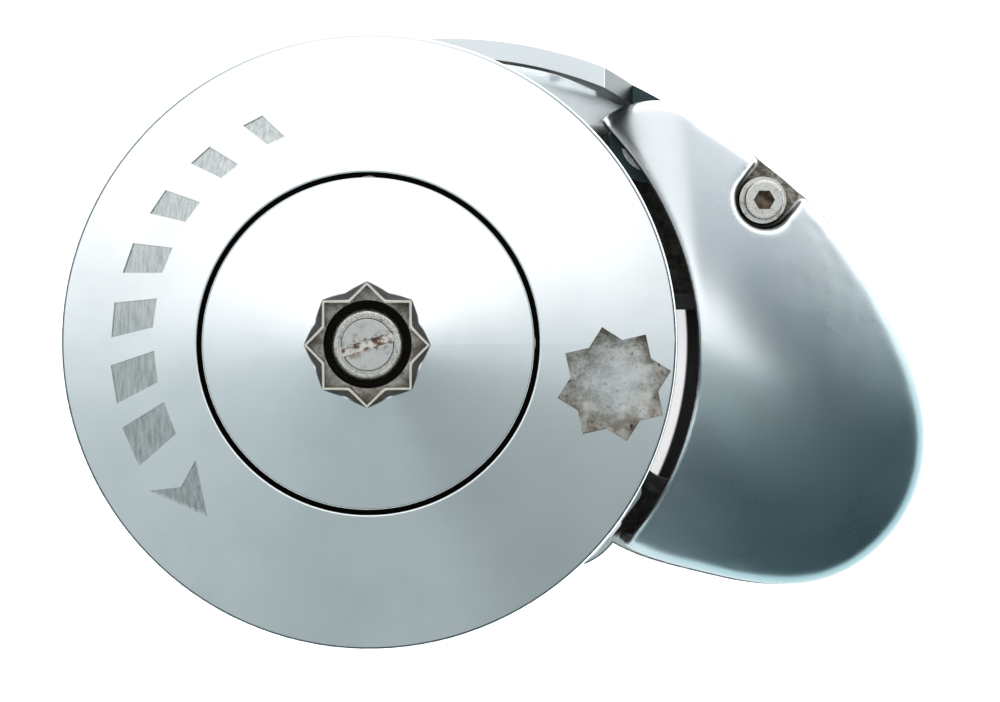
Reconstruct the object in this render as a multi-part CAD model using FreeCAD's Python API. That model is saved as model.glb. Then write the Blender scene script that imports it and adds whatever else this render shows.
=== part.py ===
import FreeCAD, Part
import math
import os

# Vertical anchor windlass for rope and chain, deck unit only.
# Millimetres. The origin is on the main shaft's axis, in the plane of the deck.
# +Z is up, and +X points from the shaft to the chain pipe.

# --- driving dimensions -------------------------------------------------------
CAP_R = 65.0            # outer radius of the polished drum cap
HANDLE_TIP_R = 12.35    # tip radius of the eight-point handle socket, 11/16 in across flats
CHAIN_WIRE = 7.0        # chain wire diameter
CHAIN_PITCH = 22.0      # chain pitch
POCKETS = 6             # flat-link pockets round the chainwheel
NOTCHES = 12            # ratchet notches in the lower flange
FIT = 0.05              # radial running clearance
SURFACE_GAP = 0.05      # axial running clearance
PAST = 1.0              # how far a cutter runs past the face it cuts
SINK = 1.0              # how far a fused piece starts inside its neighbour
M5_R = 2.5
M5_SCREW_Z = 28.0       # foot of the hood's screw
LOW_HOLE_Z = 5.0        # floor of dowel holes in the base
PIN_FOOT_Z = 3.0        # foot of the pivot pins, pressed into the base

# --- heights ------------------------------------------------------------------
GASKET_T = 1.5
BASE_TOP = 11.0
PEDESTAL_TOP = 26.0
THRUST_T = 3.0
SHAFT_FLANGE_Z = PEDESTAL_TOP + THRUST_T + SURFACE_GAP
LOWER_CONE_Z = 32.0
LOWER_CONE_TOP = 50.0
UPPER_CONE_Z = 58.0
WHEEL_BOTTOM = 31.0
WHEEL_TOP = 76.0
WHEEL_MID = 0.5 * (WHEEL_BOTTOM + WHEEL_TOP)
WASHER_TOP = WHEEL_TOP + 2.0
RIM_Z = 80.0            # top of the cap's rim
RING_Z = 92.0           # top of the cap at its inner ring
CAP_SEAT_Z = 84.0
SHAFT_TOP = 96.0
END_HOLE_Z = 82.0       # foot of the shaft-end screw's hole
SOCKET_FLOOR = 97.5
BOSS_TOP = 105.0

# --- radii on the shaft axis ----------------------------------------------------
JOURNAL_R = 12.0
BUSH_R = 15.0
BUSH_COLLAR_R = 17.5
SEAL_R = 17.0
SHAFT_FLANGE_R = 17.0
SPINDLE_R = 9.0
THREAD_R = 6.0
END_HOLE_R = 3.0
DRIVE_BORE_R = 7.0
DRIVE_BORE_DEPTH = 30.0
FLANGE_R = 55.0         # chainwheel flanges
CONE_BIG_R = 25.7
CONE_SMALL_R = 20.0
CONE_GAP = 0.06         # between a clutch cone and its seat in the wheel
CAP_BORE_R = 27.0
SCREW_RING_R = 31.5     # circle of the cap screws and dowels
RING_R = 35.6           # inner edge of the cap's polished face
NUT_R = 34.6
NUT_HUB_R = 13.0
NUT_SKIRT_Z = 85.5      # underside of the nut's rim
CAP_SLOPE = (RING_Z - RIM_Z) / (CAP_R - RING_R)
STAR_VALLEY = math.cos(math.radians(45)) / math.cos(math.radians(22.5))

# --- shaft keys and circlip -------------------------------------------------------
KEY_HALF = 2.5
KEY_R = (6.5, 11.5)     # inner and outer face of a key
LOWER_KEY_Z = (33.0, 49.0)
UPPER_KEY_Z = (60.0, 75.0)
DRIVE_KEYWAY = (9.5, 26.0)      # how far out and how high the drive keyway runs
SHAFT_CLIP_Z = (2.6, 3.8)
SHAFT_CLIP_R = (11.0, 14.5)

# --- handle star, collar and end screw -----------------------------------------------
STAR_TOP = (12.95, 9.95)        # tip and valley radius of the boss at its top
STAR_FOOT = (13.15, 12.5)
STAR_FOOT_Z = 100.5
CONE_END_R = 11.3               # where the nut's cone stops, inside the boss
NUT_WELL_R = 9.15
NUT_WELL_Z = 92.0
OUTER_SOCKET = (51.5, -8.7)
OUTER_SOCKET_TURN = 12.5
OUTER_SOCKET_Z = 78.0
COLLAR_R = 7.45
COLLAR_TOP = 99.6
COLLAR_WELL_R = 6.0
END_HEAD_R = 5.5
END_HEAD_Z = (98.0, 100.2)
SLOT_HALF = 0.95
SLOT_DEPTH = 1.3
SLOT_TURN = 17.0

# --- cap screws and dowels -------------------------------------------------------------
CAP_SCREW_R = 2.0
CAP_SCREW_HEAD_R = 3.5
CAP_SCREW_FOOT = 66.0
CAP_DOWEL_Z = (70.0, 82.0)
SMALL_HEX = 3.0         # across flats of the M4 and M5 button screws' sockets
SMALL_HEX_DEPTH = 2.2

# --- engraved band -----------------------------------------------------------------------
BAR_COUNT = 7
BAR_START = 112.0
BAR_STEP = 14.0
BAR_LEAN = 3.0
BAR_WIDTH = 5.0
BAR_WIDENING = 0.7
BAR_R = (46.5, 52.5)
BAR_GROWTH = 0.35
ARROW = [(43.5, 214.0), (49.5, 227.0), (55.5, 214.0), (49.5, 217.5)]
ENGRAVING_DEPTH = 0.4
ENGRAVED_R = (38.0, 60.0)

# --- base, chain pipe and hood ----------------------------------------------------
BASE_R = 64.0
BASE_EDGE_R = 1.5
BASE_FLANGE = 1.6       # how far the base stands out round the hood
BASE_SHIFT = -1.0       # and how far that flange is moved towards the stripper's side
GASKET_INSET = 1.0
GASKET_BORE_R = 19.0
PEDESTAL_R = 24.0
LOW_BUSH_Z = (4.0, 5.5, 12.5)   # foot, shoulder and top of the lower bush
HIGH_BUSH_Z = (15.0, 22.0)
SEAL_TOP = 25.5
CLIP_WELL_R = 18.0
STUD_CIRCLE_R = 53.0
STUD_R = 4.0
STUD_DEPTH = 8.0
PIPE_CENTRE = (72.0, -13.4)
PIPE_HALF = (14.0, 20.8)
PIPE_CORNER_R = 9.0
LINER_T = 1.6
LINER_FOOT = 0.3
LINER_FLANGE = (2.0, 1.5)       # overhang and thickness of the liner's collar
HOOD_CENTRE = (70.0, -2.0)
HOOD_TOP = 73.0
HOOD_EDGE_Z = 45.0      # where the sloping top would meet the side wall, before rounding
HOOD_WALL_TOP = 38.0
HOOD_DRAFT = 0.4        # how far the side wall leans out at its foot
HOOD_ROUNDING = 90      # the higher, the tighter the edge between top and side wall
HOOD_CROWN = 0.4        # share of the top that curves over the crown
HOOD_WALL = 3.0
HOOD_LIP_R = 1.0        # rounding of the front edge
HOOD_MEAN_R = 53.0      # mean distance from the crown to the outline
HOOD_FRONT_CENTRE = (-1.5, -2.0)
HOOD_FRONT_R = 71.0
ARM_WINDOW = (35.0, 76.0, 30.0, 60.0)
ARM_WINDOW_TOP = 41.0
HOOD_OUTLINE = [
    (69.3, 50.2), (80.2, 42.7), (94.0, 31.9), (105.3, 18.2), (115.1, 0.8), (121.0, -21.0),
    (118.4, -35.1), (110.7, -46.1), (99.9, -52.6), (86.8, -53.9), (71.5, -51.0), (55.0, -45.5),
    (40.0, -30.0), (36.0, 0.0), (40.0, 31.0), (48.5, 47.0), (58.5, 52.0),
]
HOOD_LEVELS = [1.0, 0.998, 0.993, 0.986, 0.975, 0.95, 0.92, 0.87, 0.8, 0.7, 0.58, 0.45, 0.32, 0.2, 0.1, 0.03]
HOOD_SCREW = (85.1, 30.2)
HOOD_SCREW_FLOOR = 44.0
HOOD_HEAD = (4.25, 5.0)         # radius and height of the M5 socket head
HOOD_HEX = 4.0
HOOD_HEX_DEPTH = 3.0
HOOD_WASHER = (5.1, 2.7, 1.0)   # outer radius, hole radius and thickness
POCKET_R = 6.5
POCKET_TURN = 50.0
POCKET_RUN = 40.0
BOSS_WALL = 2.5
POST_TOP = 40.0
POST_R = 3.8
DOWELS = [(105.5, -44.0), (114.0, -8.0)]
DOWEL_BOSS = (5.5, 20.0)        # radius and top of the hood's dowel bosses
DOWEL_TOP = 16.5

# --- pressure arm ------------------------------------------------------------------
ARM_PIVOT = (61.0, 43.0)
ARM_ARC_CENTRE = (16.7, -28.3)
ARM_OUTER_R = 92.9
ARM_T = 4.0
ARM_END_ANGLE = 112.0
ARM_BLADE_Z = (44.0, 63.0)
ARM_HUB_Z = (18.0, 36.0)
ARM_HUB_R = 9.0
ARM_LOW_TOP = 38.0      # top of the arm where it has come down to its hub
ARM_CRANK_X = (50.0, 57.0)      # the top edge slopes down between these
ARM_CRANK_FOOT_X = (40.0, 53.0)
ARM_FINGER = [(-5.0, 59.0), (-17.3, 56.4), (-14.8, 46.2), (-11.2, 46.4)]
ARM_FINGER_Z = (48.0, 59.0)
ARM_PIN_R = 4.0
ARM_BUSH_R = 5.5
ARM_POST_R = 5.0
ARM_CLIP_R = (3.4, 6.6)
ARM_CLIP_T = 1.0
ARM_SHELF_R = ARM_OUTER_R - 1.4 # the base's edge under the arm
ARM_SHELF = (5.0, 64.0, 35.0, 64.0)

# --- stripper and pawl ----------------------------------------------------------------
STRIPPER_TURN = -38.0
STRIPPER_PAD = (42.0, -38.0)
STRIPPER_PAD_R = 15.0
STRIPPER_R = 64.5       # distance of the stripper's foot from the shaft
STRIPPER_FOOT_T = 4.0
STRIPPER_FOOT_HALF = (4.8, 10.5)
STRIPPER_POST_HALF = (3.0, 2.6)
STRIPPER_HALF = 3.0     # half the finger's height
STRIPPER_SCREW_Y = 6.4
STRIPPER_HEAD = (3.4, 3.0)      # radius and height of the button heads
STRIPPER_SCREW_Z = 4.0
PAWL_TURN = 215.0
PAWL_PIVOT_R = 60.5
PAWL_HUB_R = 4.5
PAWL_PIN_R = 3.0
PAWL_Z = (30.6, 35.6)
PAWL_LIFT = 0.3         # gap between the pawl and its post
PAWL_CLIP_R = (2.5, 4.8)
PAWL_CLIP_T = 0.8
PAWL_ARM = [(57.4, -1.0), (57.0, -8.0), (55.9, -13.0), (53.2, -18.5), (57.2, -20.5), (60.5, -13.0),
            (63.8, -2.0)]
PAWL_TAB = [(60.5, 2.0), (64.2, 1.0), (65.0, 9.0), (62.0, 9.5)]
NOTCH = [(49.6, -4.0), (57.0, -4.0), (57.0, 9.6), (49.6, 3.4)]
NOTCH_TURN = -17.0      # from the pawl's pivot to the notch it drops into


# --- small builders -----------------------------------------------------------------
def vec(x, y, z=0.0):
    return FreeCAD.Vector(x, y, z)


def cyl(radius, z0, z1, at=(0.0, 0.0)):
    return Part.makeCylinder(radius, z1 - z0, vec(at[0], at[1], z0))


def ring(outer, inner, z0, z1, at=(0.0, 0.0)):
    return cyl(outer, z0, z1, at).cut(cyl(inner, z0 - PAST, z1 + PAST, at))


def box(x0, x1, y0, y1, z0, z1):
    return Part.makeBox(x1 - x0, y1 - y0, z1 - z0, vec(x0, y0, z0))


def turned(profile):
    """Solid of revolution about Z from (radius, height) corners."""
    corners = [vec(r, 0.0, z) for r, z in profile]
    face = Part.Face(Part.makePolygon(corners + corners[:1]))
    return face.revolve(vec(0, 0), vec(0, 0, 1), 360)


def prism(points, z0, z1):
    """Upright prism on a polygon of (x, y) corners."""
    corners = [vec(x, y, z0) for x, y in points]
    face = Part.Face(Part.makePolygon(corners + corners[:1]))
    return face.extrude(vec(0, 0, z1 - z0))


def about_z(shape, degrees, centre=(0.0, 0.0)):
    copy = shape.copy()
    copy.rotate(vec(centre[0], centre[1]), vec(0, 0, 1), degrees)
    return copy


def polar(radius, degrees, centre=(0.0, 0.0)):
    a = math.radians(degrees)
    return centre[0] + radius * math.cos(a), centre[1] + radius * math.sin(a)


def star_wire(tip, valley, z, degrees=0.0, centre=(0.0, 0.0)):
    """Closed outline of an eight-point star."""
    corners = []
    for i in range(16):
        x, y = polar(tip if i % 2 == 0 else valley, degrees + 22.5 * i, centre)
        corners.append(vec(x, y, z))
    return Part.makePolygon(corners + corners[:1])


def star_prism(tip, z0, z1, degrees=0.0, centre=(0.0, 0.0)):
    face = Part.Face(star_wire(tip, tip * STAR_VALLEY, z0, degrees, centre))
    return face.extrude(vec(0, 0, z1 - z0))


def rounded_box(centre, half, corner, z0, z1):
    """Upright block with round corners."""
    (x, y), (hx, hy) = centre, half
    block = box(x - hx, x + hx, y - hy, y + hy, z0, z1)
    uprights = [e for e in block.Edges if abs(e.Vertexes[0].Z - e.Vertexes[1].Z) > 0.5 * (z1 - z0)]
    return block.makeFillet(corner, uprights)


def hex_prism(across_flats, z0, z1, at):
    radius = across_flats / math.sqrt(3)
    return prism([polar(radius, 60 * i, at) for i in range(6)], z0, z1)


def coil(mean_r, wire_r, z0, turns, pitch, at=(0.0, 0.0)):
    """Round-wire coil spring standing on z0."""
    path = Part.makeHelix(pitch, pitch * turns, mean_r)
    section = Part.Wire(Part.makeCircle(wire_r, vec(mean_r, 0), vec(0, 1, 0)))
    spring = Part.Wire(path).makePipeShell([section], True, True)
    spring.translate(vec(at[0], at[1], z0 + wire_r))
    return spring


def circlip(radii, z0, z1, at=(0.0, 0.0), gap_turn=180.0):
    """Open retaining ring with a 3 mm gap."""
    inner, outer = radii
    half_gap = 1.5
    clip = ring(outer, inner, z0, z1, at)
    gap = box(0.5 * inner, outer + PAST, -half_gap, half_gap, z0 - PAST, z1 + PAST)
    gap = about_z(gap, gap_turn)
    gap.translate(vec(at[0], at[1]))
    return clip.cut(gap)


def edges_at(shape, z, radius=None):
    """Flat edges at one height, all of them or only the circles of one radius."""
    near = 1e-3
    found = []
    for e in shape.Edges:
        b = e.BoundBox
        if abs(b.ZMin - z) > near or abs(b.ZMax - z) > near:
            continue
        if radius is None or (hasattr(e.Curve, "Radius") and abs(e.Curve.Radius - radius) < near):
            found.append(e)
    return found


def cone_z(radius):
    """Height of the cap's and nut's common cone."""
    return RIM_Z + (CAP_R - radius) * CAP_SLOPE


def save(name, shape):
    shape.exportStep("parts/" + name + ".step")


# --- outlines shared by the base, the gasket and the hood -----------------------------
def hood_wire(z, scale=1.0):
    """Smooth closed plan outline of the hood, drawn towards its crown by the scale."""
    cx, cy = HOOD_CENTRE
    points = [vec(cx + scale * (x - cx), cy + scale * (y - cy), z) for x, y in HOOD_OUTLINE]
    curve = Part.BSplineCurve()
    curve.interpolate(Points=points, PeriodicFlag=True)
    return Part.Wire(curve.toShape())


def dome_height(s, drop):
    """Height of the hood's top at a share s of the way to its outline: a round-tipped cone with a rounded edge."""
    tip = HOOD_CROWN
    slope = (math.hypot(tip, s) - tip) / (math.hypot(tip, 1.0) - tip)
    cone = HOOD_TOP - (HOOD_TOP - HOOD_EDGE_Z) * slope
    return HOOD_WALL_TOP + (cone - HOOD_WALL_TOP) * math.sqrt(1.0 - s ** HOOD_ROUNDING) - drop


def dome(scale, bottom, drop):
    """Domed solid: a side wall under outlines that shrink towards the crown as they rise."""
    foot = scale + HOOD_DRAFT / HOOD_MEAN_R
    wall = Part.makeLoft([hood_wire(bottom, foot), hood_wire(HOOD_WALL_TOP - drop, scale)], True, True)
    top = Part.makeLoft([hood_wire(dome_height(s, drop), s * scale) for s in HOOD_LEVELS], True, False)
    return wall.fuse(top)


def hood_footprint(margin, z0, z1):
    """Prism on the hood's outline grown by a margin all round."""
    wire = hood_wire(z0, 1.0 + margin / HOOD_MEAN_R)
    wire.translate(vec(0.0, BASE_SHIFT))
    return Part.Face(wire).extrude(vec(0, 0, z1 - z0))


def pipe_block(inset, z0, z1):
    half = (PIPE_HALF[0] - inset, PIPE_HALF[1] - inset)
    return rounded_box(PIPE_CENTRE, half, PIPE_CORNER_R - inset, z0, z1)


def foot_slab(inset, z0, z1):
    """Plan shape of the base and gasket: drum, hood, stripper pad and the shelf under the arm."""
    shelf = cyl(ARM_SHELF_R - inset, z0, z1, ARM_ARC_CENTRE).common(box(*ARM_SHELF, z0, z1))
    slab = cyl(BASE_R - inset, z0, z1).fuse(hood_footprint(BASE_FLANGE - inset, z0, z1))
    return slab.fuse(shelf).fuse(cyl(STRIPPER_PAD_R - inset, z0, z1, STRIPPER_PAD)).removeSplitter()


def stud_points():
    return [polar(STUD_CIRCLE_R, 45 + 90 * i) for i in range(4)]


# --- base and its bearings ---------------------------------------------------------------
def base_gasket():
    sheet = foot_slab(GASKET_INSET, 0.0, GASKET_T)
    sheet = sheet.cut(cyl(GASKET_BORE_R, -PAST, GASKET_T + PAST)).cut(pipe_block(0.0, -PAST, GASKET_T + PAST))
    for point in stud_points():
        sheet = sheet.cut(cyl(STUD_R + 0.5, -PAST, GASKET_T + PAST, point))
    return sheet


def base_plate():
    plate = foot_slab(0.0, GASKET_T, BASE_TOP)
    plate = plate.makeFillet(BASE_EDGE_R, edges_at(plate, BASE_TOP))
    pawl_at = polar(PAWL_PIVOT_R, PAWL_TURN)
    plate = plate.fuse(cyl(PEDESTAL_R, BASE_TOP - SINK, PEDESTAL_TOP))
    plate = plate.fuse(cyl(ARM_POST_R, BASE_TOP - SINK, ARM_HUB_Z[0] - 0.2, ARM_PIVOT))
    plate = plate.fuse(cyl(PAWL_HUB_R, GASKET_T, PAWL_Z[0] - PAWL_LIFT, pawl_at))
    plate = plate.fuse(cyl(POST_R, BASE_TOP - SINK, POST_TOP, HOOD_SCREW))
    plate = plate.cut(cyl(BUSH_R, 0.0, PEDESTAL_TOP + PAST))
    plate = plate.cut(cyl(CLIP_WELL_R, 0.0, LOW_BUSH_Z[1])).cut(cyl(SEAL_R, HIGH_BUSH_Z[1], PEDESTAL_TOP + PAST))
    plate = plate.cut(pipe_block(0.0, 0.0, BASE_TOP + PAST))
    for point in stud_points():
        plate = plate.cut(cyl(STUD_R, 0.0, GASKET_T + STUD_DEPTH, point))
    plate = plate.cut(cyl(ARM_PIN_R, PIN_FOOT_Z, ARM_HUB_Z[1], ARM_PIVOT))
    plate = plate.cut(cyl(PAWL_PIN_R, PIN_FOOT_Z, PAWL_Z[1], pawl_at))
    plate = plate.cut(cyl(M5_R, M5_SCREW_Z, POST_TOP + PAST, HOOD_SCREW))
    for point in DOWELS:
        plate = plate.cut(cyl(M5_R, LOW_HOLE_Z, BASE_TOP + PAST, point))
    for point in stripper_screw_points():
        plate = plate.cut(cyl(M5_R, STRIPPER_SCREW_Z, BASE_TOP + PAST, point))
    return plate


def chainpipe_liner():
    overhang, thickness = LINER_FLANGE
    top = BASE_TOP + thickness
    sleeve = pipe_block(-overhang, BASE_TOP, top).fuse(pipe_block(0.0, LINER_FOOT, top))
    return sleeve.cut(pipe_block(LINER_T, -PAST, top + PAST)).removeSplitter()


def lower_shaft_bush():
    foot, shoulder, top = LOW_BUSH_Z
    bore = JOURNAL_R + FIT
    return ring(BUSH_R, bore, shoulder, top).fuse(ring(BUSH_COLLAR_R, bore, foot, shoulder)).removeSplitter()


def upper_shaft_bush():
    return ring(BUSH_R, JOURNAL_R + FIT, *HIGH_BUSH_Z)


def shaft_seal():
    return ring(SEAL_R, JOURNAL_R + FIT, HIGH_BUSH_Z[1], SEAL_TOP)


def lower_thrust_washer():
    return ring(CONE_SMALL_R, JOURNAL_R + 0.3, PEDESTAL_TOP, PEDESTAL_TOP + THRUST_T)


# --- shaft and clutch -----------------------------------------------------------------------
def key_box(z0, z1, side=KEY_HALF, outer=KEY_R[1]):
    return box(KEY_R[0], outer, -side, side, z0, z1)


def main_shaft():
    thread_z = WASHER_TOP - 0.5
    shaft = turned([
        (DRIVE_BORE_R, 0.0), (JOURNAL_R, 0.0), (JOURNAL_R, SHAFT_FLANGE_Z), (SHAFT_FLANGE_R, SHAFT_FLANGE_Z),
        (SHAFT_FLANGE_R, LOWER_CONE_Z), (SPINDLE_R, LOWER_CONE_Z), (SPINDLE_R, thread_z),
        (THREAD_R, thread_z), (THREAD_R, SHAFT_TOP), (END_HOLE_R, SHAFT_TOP), (END_HOLE_R, END_HOLE_Z),
        (0.0, END_HOLE_Z), (0.0, DRIVE_BORE_DEPTH), (DRIVE_BORE_R, DRIVE_BORE_DEPTH),
    ])
    keyway_r, keyway_top = DRIVE_KEYWAY
    shaft = shaft.cut(ring(BUSH_R, SHAFT_CLIP_R[0], *SHAFT_CLIP_Z))
    shaft = shaft.cut(box(0.0, keyway_r, -KEY_HALF, KEY_HALF, -PAST, keyway_top))
    return shaft.cut(key_box(*LOWER_KEY_Z)).cut(key_box(*UPPER_KEY_Z))


def shaft_circlip():
    return circlip(SHAFT_CLIP_R, *SHAFT_CLIP_Z)


def lower_clutch_cone():
    cone = turned([(SPINDLE_R, LOWER_CONE_Z), (CONE_BIG_R, LOWER_CONE_Z),
                   (CONE_SMALL_R, LOWER_CONE_TOP), (SPINDLE_R, LOWER_CONE_TOP)])
    return cone.cut(key_box(LOWER_CONE_Z - PAST, LOWER_CONE_TOP + PAST))


def lower_cone_key():
    return key_box(*LOWER_KEY_Z)


def clutch_spring():
    return coil(12.5, 0.9, LOWER_CONE_TOP + SURFACE_GAP, 2.5, 2.44)


def upper_clutch_cone():
    bore = SPINDLE_R + FIT
    cone = turned([(bore, UPPER_CONE_Z), (CONE_SMALL_R, UPPER_CONE_Z),
                   (CONE_BIG_R, WHEEL_TOP), (bore, WHEEL_TOP)])
    return cone.cut(key_box(UPPER_CONE_Z - PAST, WHEEL_TOP + PAST, KEY_HALF + FIT, KEY_R[1] + 0.2))


def upper_cone_key():
    return key_box(*UPPER_KEY_Z)


def clutch_thrust_washer():
    return ring(CONE_SMALL_R, SPINDLE_R + 0.35, WHEEL_TOP, WASHER_TOP)


def clutch_nut():
    """Domed nut that tightens the cones, with the raised star for the handle."""
    bottom = WASHER_TOP + SURFACE_GAP
    bore = THREAD_R + FIT
    edge_round = 0.5
    nut = turned([(bore, bottom), (NUT_HUB_R, bottom), (NUT_HUB_R, NUT_SKIRT_Z), (NUT_R, NUT_SKIRT_Z),
                  (NUT_R, cone_z(NUT_R)), (CONE_END_R, cone_z(CONE_END_R)), (bore, cone_z(CONE_END_R))])
    nut = nut.makeFillet(edge_round, edges_at(nut, cone_z(NUT_R), NUT_R))
    boss = Part.makeLoft([star_wire(*STAR_FOOT, STAR_FOOT_Z), star_wire(*STAR_TOP, BOSS_TOP)], True, True)
    nut = nut.fuse(boss)
    nut = nut.cut(star_prism(HANDLE_TIP_R, SOCKET_FLOOR, BOSS_TOP + PAST))
    return nut.cut(cyl(NUT_WELL_R, NUT_WELL_Z, BOSS_TOP))


def screw_slot():
    """Cutter for the slot across the end screw."""
    top = END_HEAD_Z[1]
    return about_z(box(-COLLAR_R, COLLAR_R, -SLOT_HALF, SLOT_HALF, top - SLOT_DEPTH, top + PAST), SLOT_TURN)


def retaining_collar():
    edge_round = 0.9
    hole_r = END_HOLE_R + 0.2
    collar = ring(COLLAR_R, hole_r, SHAFT_TOP, COLLAR_TOP)
    collar = collar.cut(cyl(COLLAR_WELL_R, END_HEAD_Z[0], COLLAR_TOP + PAST))
    return collar.makeFillet(edge_round, edges_at(collar, COLLAR_TOP, COLLAR_R))


def shaft_end_screw():
    foot, top = END_HEAD_Z
    edge_round = 0.3
    screw = cyl(END_HEAD_R, foot, top)
    screw = screw.makeFillet(edge_round, edges_at(screw, top))
    return screw.fuse(cyl(END_HOLE_R, END_HOLE_Z, foot)).removeSplitter().cut(screw_slot())


# --- chainwheel and cap ----------------------------------------------------------------------
def chainwheel():
    cone_slope = (CONE_BIG_R - CONE_SMALL_R) / (LOWER_CONE_TOP - LOWER_CONE_Z)
    seat_high = CONE_BIG_R + CONE_GAP
    seat_low = seat_high + cone_slope
    waist = CONE_SMALL_R + CONE_GAP
    slot_half = 0.5 * CHAIN_WIRE + 0.75
    slot_r = 30.3
    v_root_r = 33.0
    flange_t = 4.5
    wheel = turned([
        (seat_low, WHEEL_BOTTOM), (FLANGE_R, WHEEL_BOTTOM), (FLANGE_R, WHEEL_BOTTOM + flange_t),
        (v_root_r, WHEEL_MID - slot_half), (slot_r, WHEEL_MID - slot_half),
        (slot_r, WHEEL_MID + slot_half), (v_root_r, WHEEL_MID + slot_half),
        (FLANGE_R, WHEEL_TOP - flange_t), (FLANGE_R, WHEEL_TOP), (seat_high, WHEEL_TOP),
        (waist, UPPER_CONE_Z), (waist, LOWER_CONE_TOP),
    ])
    for i in range(POCKETS):
        wheel = wheel.cut(about_z(link_pocket(), 30 + 360 / POCKETS * i))
    for i in range(NOTCHES):
        wheel = wheel.cut(about_z(ratchet_notch(), PAWL_TURN + NOTCH_TURN + 360 / NOTCHES * i))
    for point in cap_screw_points():
        wheel = wheel.cut(cyl(CAP_SCREW_R, CAP_SCREW_FOOT, WHEEL_TOP + PAST, point))
    for point in cap_dowel_points():
        wheel = wheel.cut(cyl(M5_R, CAP_DOWEL_Z[0], WHEEL_TOP + PAST, point))
    return wheel


def link_pocket():
    """Cutter for one flat link: a round-ended slot sunk into the rim from outside."""
    half_width = 12.5
    reach = FLANGE_R + 5.0
    half_straight = 0.5 * (CHAIN_PITCH + 2 * CHAIN_WIRE + 1.0) - half_width
    half_step = math.radians(90 / POCKETS)
    polygon_r = CHAIN_PITCH / (2 * math.sin(half_step))
    floor_r = polygon_r * math.cos(half_step) - 0.5 * CHAIN_WIRE - 0.3
    pocket = box(floor_r, reach, -half_straight, half_straight, WHEEL_MID - half_width, WHEEL_MID + half_width)
    for side in (-1, 1):
        end = Part.makeCylinder(half_width, reach - floor_r,
                                vec(floor_r, side * half_straight, WHEEL_MID), vec(1, 0, 0))
        pocket = pocket.fuse(end)
    return pocket


def ratchet_notch():
    return prism(NOTCH, WHEEL_BOTTOM - PAST, WHEEL_BOTTOM + 10.0)


def cap_screw_points():
    return [polar(SCREW_RING_R, 90 * i) for i in range(4)]


def cap_dowel_points():
    return [polar(SCREW_RING_R, 45 + 180 * i) for i in range(2)]


def engraved_outlines():
    """Plan outlines of the turn-direction band: slanted bars that grow, then an arrowhead."""
    outlines = []
    for i in range(BAR_COUNT):
        start = BAR_START + BAR_STEP * i
        width = BAR_WIDTH + BAR_WIDENING * i
        inner = BAR_R[0] - BAR_GROWTH * i
        outer = BAR_R[1] + BAR_GROWTH * i
        outlines.append([polar(inner, start), polar(outer, start + BAR_LEAN),
                         polar(outer, start + BAR_LEAN + width), polar(inner, start + width)])
    outlines.append([polar(radius, turn) for radius, turn in ARROW])
    return outlines


def engraving_skin():
    """Everything above the floor of the engraving."""
    top = RING_Z + PAST
    inner, outer = ENGRAVED_R
    return turned([(inner, cone_z(inner) - ENGRAVING_DEPTH), (outer, cone_z(outer) - ENGRAVING_DEPTH),
                   (outer, top), (inner, top)])


def drum_cap():
    rim_round = 1.2
    ring_round = 0.4
    cap = turned([(CAP_BORE_R, WHEEL_TOP), (CAP_R, WHEEL_TOP), (CAP_R, RIM_Z), (RING_R, RING_Z),
                  (RING_R, CAP_SEAT_Z), (CAP_BORE_R, CAP_SEAT_Z)])
    cap = cap.makeFillet(rim_round, edges_at(cap, RIM_Z, CAP_R) + edges_at(cap, WHEEL_TOP, CAP_R))
    cap = cap.makeFillet(ring_round, edges_at(cap, RING_Z, RING_R))
    skin = engraving_skin()
    for outline in engraved_outlines():
        cap = cap.cut(prism(outline, WHEEL_TOP, RING_Z + PAST).common(skin))
    cap = cap.cut(star_prism(HANDLE_TIP_R, OUTER_SOCKET_Z, RING_Z, OUTER_SOCKET_TURN, OUTER_SOCKET))
    for point in cap_screw_points():
        cap = cap.cut(cyl(CAP_SCREW_R + 0.2, WHEEL_TOP - PAST, CAP_SEAT_Z + PAST, point))
        cap = cap.cut(cyl(CAP_SCREW_HEAD_R + 0.1, RIM_Z, CAP_SEAT_Z + PAST, point))
    for point in cap_dowel_points():
        cap = cap.cut(cyl(M5_R, WHEEL_TOP - PAST, CAP_DOWEL_Z[1], point))
    return cap


def cap_screws():
    screws = []
    for point in cap_screw_points():
        head = cyl(CAP_SCREW_HEAD_R, RIM_Z, CAP_SEAT_Z, point)
        head = head.cut(hex_prism(SMALL_HEX, CAP_SEAT_Z - SMALL_HEX_DEPTH, CAP_SEAT_Z + PAST, point))
        screws.append(head.fuse(cyl(CAP_SCREW_R, CAP_SCREW_FOOT, RIM_Z, point)).removeSplitter())
    return Part.makeCompound(screws)


def cap_dowels():
    return Part.makeCompound([cyl(M5_R, *CAP_DOWEL_Z, point) for point in cap_dowel_points()])


# --- stripper -----------------------------------------------------------------------------------
def stripper_screw_points():
    points = []
    for y in (-STRIPPER_SCREW_Y, STRIPPER_SCREW_Y):
        turn = STRIPPER_TURN + math.degrees(math.atan2(y, STRIPPER_R))
        points.append(polar(math.hypot(STRIPPER_R, y), turn))
    return points


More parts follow.
